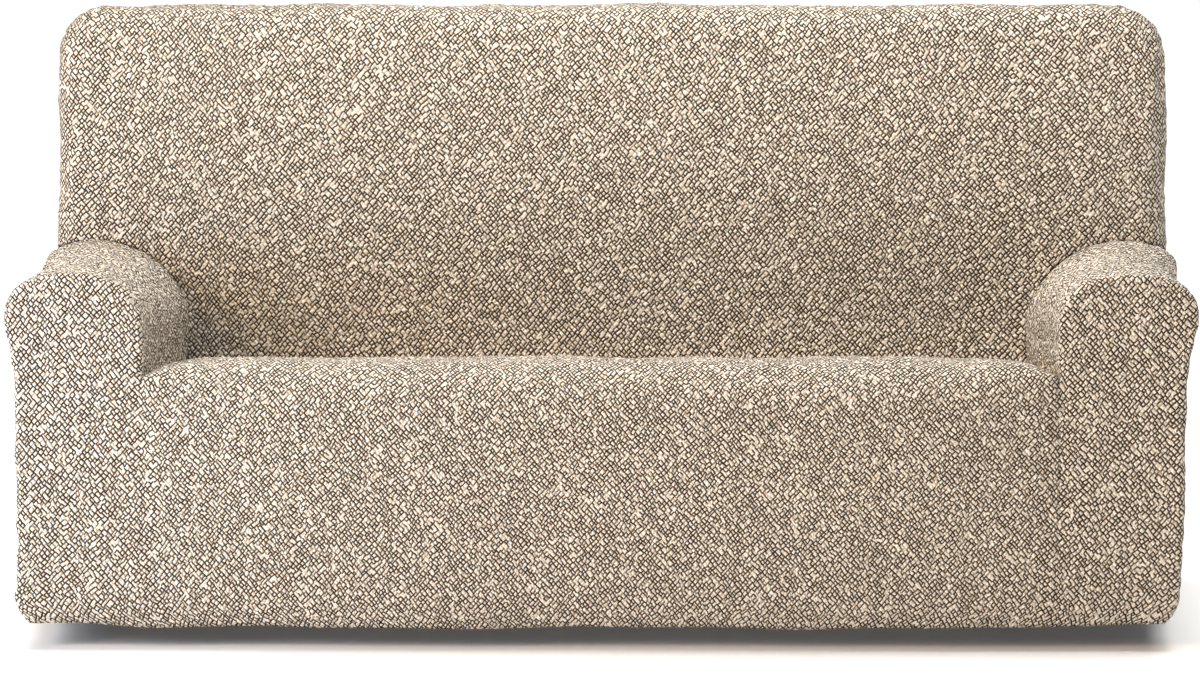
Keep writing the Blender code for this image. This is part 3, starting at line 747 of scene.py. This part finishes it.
def crinkled_stretch_cloth(name, cloth, pulled):
    """Crinkled stretch cloth: polyester and elastane, which the elastic threads draw up into small cells.

    Each cell is a raised cream diamond, and the brown weft shows in the thin grooves between them, which are
    about 6 to 7 mm apart. The grooves' colour is the weft's brown darkened with painted shade. The grooves
    are short broken strokes on two sets of lines, which cross the threads at 45 degrees. Cloth that is pulled
    tighter has larger cells.
    """
    material = bpy.data.materials.new(name)
    material.use_nodes = True
    tree = material.node_tree
    shader = tree.nodes["Principled BSDF"]
    uv = add_node(tree, "ShaderNodeUVMap", uv_map="cloth").outputs["UV"]

    def groove(away, depth):
        """The stroke's depth along its middle, eased to 0 at half of a groove's width."""
        across = ranged(tree, away, GROOVE_FLOOR, cloth.groove_width / 2, 1.0, 0.0, eased=True)
        return combined(tree, "MULTIPLY", across, depth)

    along_x, along_y = lattice(tree, uv, 1.0 / (cloth.cell * pulled))
    from_rising, rising_depth, chance = strokes(tree, along_x, along_y, RISING_SEED)
    from_falling, falling_depth, _ = strokes(tree, along_y, along_x, FALLING_SEED)
    grooves = groove(from_rising, rising_depth), groove(from_falling, falling_depth)
    raised = combined(tree, "SUBTRACT", 1.0, combined(tree, "MAXIMUM", *grooves))
    near = combined(tree, "MINIMUM", from_rising, from_falling)

    # No two cells take the dye alike, each has a painted highlight along its rim and painted shade in its
    # middle, and single threads show as fine grain.
    tint = ranged(tree, chance, 0.0, 1.0, *CELL_TINT)
    rim = ranged(tree, near, *RIM_REACH, *RIM_HIGHLIGHT_MIDDLE_SHADE, eased=True)
    thread = noise(tree, uv, THREAD_WAVES, THREAD_DETAIL, THREAD_ROUGHNESS).outputs["Fac"]
    grain = ranged(tree, thread, *THREAD_NOISE, *THREAD_TINT)
    shade = combined(tree, "MULTIPLY", combined(tree, "MULTIPLY", tint, rim), grain)
    cream = add_node(
        tree, "ShaderNodeVectorMath", {0: tuple(cloth.cell_colour), "Scale": shade}, operation="SCALE"
    ).outputs["Vector"]
    # Light that comes back out of a groove's side has touched the brown weft, so it is warmer.
    side = mixed(tree, raised, GROOVE_SIDE, WHITE)
    warmed = add_node(tree, "ShaderNodeVectorMath", {0: cream, 1: side}, operation="MULTIPLY")
    # The grooves take the weft's brown, darkened with painted shade.
    colour = mixed(tree, raised, (*cloth.weft_and_groove_shade_colour, 1.0), warmed.outputs["Vector"])
    tree.links.new(colour, shader.inputs["Base Color"])

    # The relief is the grooves, a dome on each cell and the threads.
    dome = ranged(tree, near, 0.0, 0.5, 0.0, DOME)
    relief = combined(tree, "ADD", raised, dome)
    relief = combined(tree, "MULTIPLY_ADD", thread, THREAD_HEIGHT, relief)
    bump = add_node(
        tree, "ShaderNodeBump", {"Height": relief, "Distance": cloth.cell_height, "Strength": 1.0}
    ).outputs["Normal"]
    tree.links.new(bump, shader.inputs["Normal"])
    shader.inputs["Roughness"].default_value = CLOTH_ROUGHNESS
    shader.inputs["Specular IOR Level"].default_value = CLOTH_SHINE
    return material


def seamless_paper(colour):
    """Matt white paper: a plain seamless studio floor."""
    paper = bpy.data.materials.new("seamless_paper")
    paper.use_nodes = True
    shader = paper.node_tree.nodes["Principled BSDF"]
    shader.inputs["Base Color"].default_value = (*colour, 1.0)
    shader.inputs["Roughness"].default_value = PAPER_ROUGHNESS
    shader.inputs["Specular IOR Level"].default_value = PAPER_SHINE
    shader.inputs["Emission Color"].default_value = WHITE
    shader.inputs["Emission Strength"].default_value = FLOOR_GLOW
    return paper


class SlipcoverSettings(PropertyGroup):
    """Sizes and colours of the cloth and of the studio."""

    step: FloatProperty(
        name="Mesh step",
        description="Distance between points of the cloth's mesh",
        default=0.0068,
        min=0.003,
        unit="LENGTH",
    )
    cell: FloatProperty(
        name="Cell size",
        description="Width of one raised cell of the crinkle",
        default=0.0063,
        min=0.004,
        unit="LENGTH",
    )
    cell_height: FloatProperty(
        name="Cell height",
        description="How far a cell stands out of its grooves",
        default=0.0030,
        min=0.0,
        unit="LENGTH",
    )
    groove_width: FloatProperty(
        name="Groove width",
        description="Width of the grooves as a share of a cell",
        default=0.51,
        min=0.05,
        max=1.0,
    )
    cell_colour: FloatVectorProperty(
        name="Cell colour",
        description="Colour of the raised cells",
        subtype="COLOR",
        default=linear("#F0E6D7")[:3],
    )
    # Brown weft darkened with painted shade, where the grooves lie in shadow.
    weft_and_groove_shade_colour: FloatVectorProperty(
        name="Groove colour",
        description="Colour of the weft between the cells",
        subtype="COLOR",
        default=linear("#261406")[:3],
    )
    floor_colour: FloatVectorProperty(
        name="Floor colour",
        description="Colour of the plain floor",
        subtype="COLOR",
        default=linear("#FCFBFA")[:3],
    )
    key_power: FloatProperty(
        name="Key light",
        description="Power of the large warm light at the front left",
        default=168.0,
        min=0.0,
        unit="POWER",
    )
    window_power: FloatProperty(
        name="Window light",
        description="Power of the cool light close to the left arm",
        default=35.0,
        min=0.0,
        unit="POWER",
    )
    top_power: FloatProperty(
        name="Top light",
        description="Power of the soft box over the seat",
        default=29.0,
        min=0.0,
        unit="POWER",
    )
    overhead: FloatProperty(
        name="Overhead light",
        description="Strength of the soft light from above",
        default=3.15,
        min=0.0,
    )
    room_light: FloatProperty(
        name="Room light",
        description="Strength of the even white light all round",
        default=0.13,
        min=0.0,
    )


def add_panel(name, grids, core, cloth, pulled=1.0):
    """One cloth panel in place of its solid: merged, faced outwards, puckered and as thick as the cloth."""
    mesh = puckered_mesh(closed_up(mesh_of(name, grids), core))
    mesh.shade_smooth()
    mesh.materials.append(crinkled_stretch_cloth(name + "_crinkled_stretch_cloth", cloth, pulled))
    piece = bpy.data.objects.new(name + "_cloth", mesh)
    bpy.context.scene.collection.objects.link(piece)
    thickness = piece.modifiers.new("cloth", "SOLIDIFY")
    thickness.thickness = CLOTH
    thickness.offset = -1.0
    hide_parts(name)
    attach(piece, "root")
    return piece


class SLIPCOVER_OT_seat_front(Operator):
    """Add the apron, the arm fronts and the seat, cut as one cloth"""

    bl_idname = "slipcover.seat_front"
    bl_label = "Seat and front"

    def execute(self, context):
        cloth = context.scene.slipcover
        grids = apron_and_seat(cloth.step) + arm_front(-1, cloth.step) + arm_front(1, cloth.step)
        piece = add_panel("seat_front", grids, (0.0, MIDDLE_DEPTH, 0.0), cloth)
        return {"FINISHED"}


class SLIPCOVER_OT_arms(Operator):
    """Add the cloth of both arms"""

    bl_idname = "slipcover.arms"
    bl_label = "Arms"

    def execute(self, context):
        cloth = context.scene.slipcover
        for name, side in (("arm_left", -1), ("arm_right", 1)):
            core = (side * MIDDLE_LINE, MIDDLE_DEPTH, SEAT_CORNER)
            piece = add_panel(name, arm_panel(side, cloth.step), core, cloth)
        return {"FINISHED"}


class SLIPCOVER_OT_backs(Operator):
    """Add the inside of the back with its boxing, and the rear panel"""

    bl_idname = "slipcover.backs"
    bl_label = "Back"

    def execute(self, context):
        cloth = context.scene.slipcover
        grids = inside_back(cloth.step)
        inside = add_panel("inside_back", grids, (0.0, REAR, CREST), cloth, BACK_PULL)
        grids = outside_back(REAR_COARSER * cloth.step)
        rear = add_panel("outside_back", grids, (0.0, MIDDLE_DEPTH, CREST), cloth, BACK_PULL)
        return {"FINISHED"}


def add_floor(colour):
    """The plain floor, level and far larger than the slipcover."""
    mesh = bpy.data.meshes.new("floor")
    reach = FLOOR_REACH
    corners = [(-reach, -reach), (reach, -reach), (reach, reach), (-reach, reach)]
    mesh.from_pydata([(x, y, FLOOR) for x, y in corners], [], [(0, 1, 2, 3)])
    mesh.materials.append(seamless_paper(colour))
    floor = bpy.data.objects.new("floor", mesh)
    bpy.context.scene.collection.objects.link(floor)


def add_light(name, kind, place, target, strength):
    """A light at a place, shining towards a target."""
    light = bpy.data.lights.new(name, kind)
    light.energy = strength
    obj = bpy.data.objects.new(name, light)
    obj.location = place
    obj.rotation_euler = (Vector(target) - Vector(place)).to_track_quat("-Z", "Y").to_euler()
    bpy.context.scene.collection.objects.link(obj)
    return light


def add_lights(studio):
    """Even light all round, a warm light from the front left, a cool one close by, and two from above."""
    world = bpy.data.worlds.new("studio")
    world.use_nodes = True
    background = world.node_tree.nodes["Background"]
    background.inputs["Color"].default_value = WHITE
    background.inputs["Strength"].default_value = studio.room_light
    bpy.context.scene.world = world
    key = add_light("key", "AREA", KEY_PLACE, KEY_TARGET, studio.key_power)
    key.size = KEY_SIZE
    key.color = KEY_COLOUR
    window = add_light("window", "AREA", WINDOW_PLACE, WINDOW_TARGET, studio.window_power)
    window.size = WINDOW_SIZE
    window.color = WINDOW_COLOUR
    overhead = add_light("overhead", "SUN", OVERHEAD_PLACE, OVERHEAD_TARGET, studio.overhead)
    overhead.angle = OVERHEAD_SPREAD
    box = add_light("top box", "AREA", BOX_PLACE, BOX_TARGET, studio.top_power)
    box.shape = "RECTANGLE"
    box.size = BOX_LENGTH
    box.size_y = BOX_WIDTH


def add_camera():
    """The camera, placed and turned as the photo was taken."""
    camera = bpy.data.cameras.new("camera")
    camera.sensor_width = CAMERA_SENSOR
    camera.lens = CAMERA_LENS
    camera.clip_end = CAMERA_CLIP
    obj = bpy.data.objects.new("camera", camera)
    obj.location = CAMERA_PLACE
    obj.rotation_euler = CAMERA_TURN
    bpy.context.scene.collection.objects.link(obj)
    bpy.context.scene.camera = obj


class SLIPCOVER_OT_stage(Operator):
    """Add the floor, the lights and the camera"""

    bl_idname = "slipcover.stage"
    bl_label = "Floor, light and camera"

    def execute(self, context):
        studio = context.scene.slipcover
        add_floor(studio.floor_colour)
        add_lights(studio)
        context.scene.view_settings.view_transform = "Standard"
        add_camera()
        return {"FINISHED"}


class SLIPCOVER_PT_panel(Panel):
    """The slipcover's pieces and settings in the sidebar"""

    bl_label = "Slipcover"
    bl_space_type = "VIEW_3D"
    bl_region_type = "UI"
    bl_category = "Slipcover"

    def draw(self, context):
        layout = self.layout
        for name in SlipcoverSettings.__annotations__:
            layout.prop(context.scene.slipcover, name)
        for operator in OPERATORS:
            layout.operator(operator.bl_idname)


OPERATORS = (
    SLIPCOVER_OT_stage,
    SLIPCOVER_OT_seat_front,
    SLIPCOVER_OT_arms,
    SLIPCOVER_OT_backs,
)
CLASSES = (SlipcoverSettings, *OPERATORS, SLIPCOVER_PT_panel)


def register():
    for each in CLASSES:
        bpy.utils.register_class(each)
    bpy.types.Scene.slipcover = PointerProperty(type=SlipcoverSettings)


def unregister():
    del bpy.types.Scene.slipcover
    for each in reversed(CLASSES):
        bpy.utils.unregister_class(each)


def main():
    register()
    bpy.ops.slipcover.stage()
    bpy.ops.slipcover.seat_front()
    bpy.ops.slipcover.arms()
    bpy.ops.slipcover.backs()


if __name__ == "__main__":
    main()
